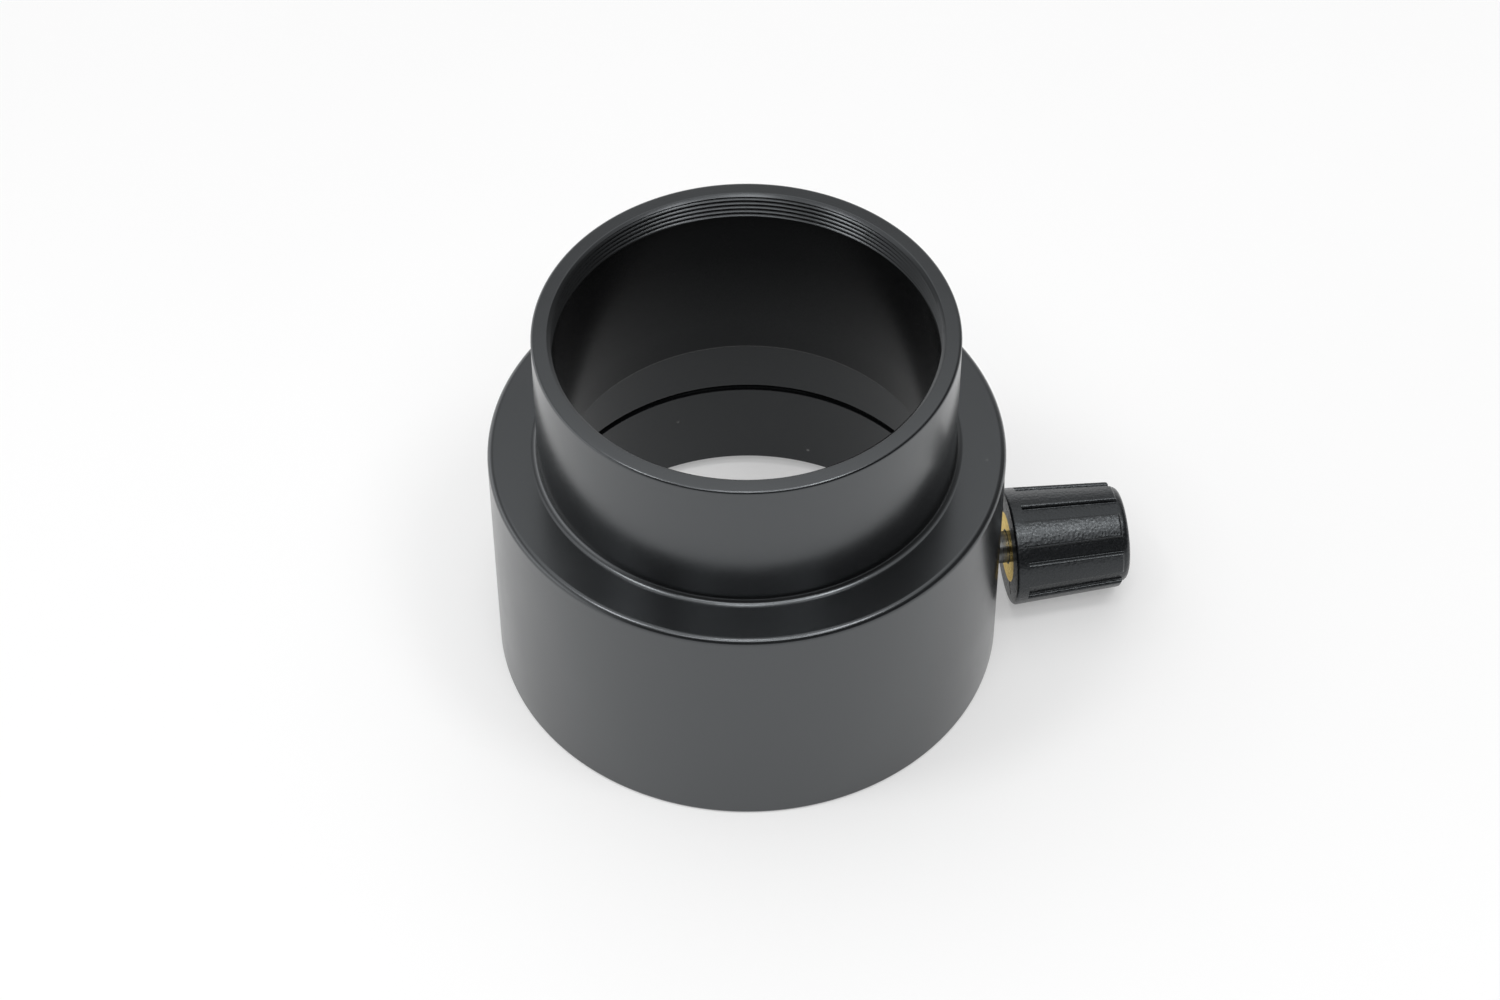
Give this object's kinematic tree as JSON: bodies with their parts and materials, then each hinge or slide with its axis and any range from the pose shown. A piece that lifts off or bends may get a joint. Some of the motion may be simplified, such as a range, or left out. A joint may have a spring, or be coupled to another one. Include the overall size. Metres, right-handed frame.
{
  "type": "digiscoping adapter",
  "caption": "Stepped black tube that slips over a telescope eyepiece, clamps there with a ribbed thumbscrew, and takes a camera lens in the filter thread at its mouth.",
  "frame": {"origin": "on the bore's axis, in the plane of the open lower end that slips over the eyepiece", "axes": "+Z along the bore towards the camera thread, +X out along the clamp screw"},
  "size_m": [0.0885, 0.07, 0.0578],
  "materials": {
    "black_anodised": "satin black anodised, finely turned",
    "plated_steel": "bright nickel plated",
    "white_nylon": "turned nylon",
    "brass": "turned brass",
    "black_plastic": "moulded, with a fine leathery grain"
  },
  "bodies": {
    "adapter": {"adapter_tube": "black_anodised"},
    "tip": {"pressure_tip": "white_nylon"},
    "thumbscrew": {"clamp_stud": "plated_steel", "knob_insert": "brass", "clamp_knob": "black_plastic"}
  },
  "joints": [
    {"name": "screw_travel", "type": "slide", "parent": "adapter", "child": "tip", "axis": [1, 0, 0], "range_m": [-0.001, 0.0032]},
    {"name": "screw_turn", "type": "hinge", "parent": "tip", "child": "thumbscrew", "pos_m": [0.037, 0, 0.0084], "axis": [1, 0, 0], "range_deg": [-450, 1440]}
  ],
  "couplings": [
    {"joint": "screw_travel", "follows": "screw_turn", "m_per_rad": 0.00012732}
  ]
}
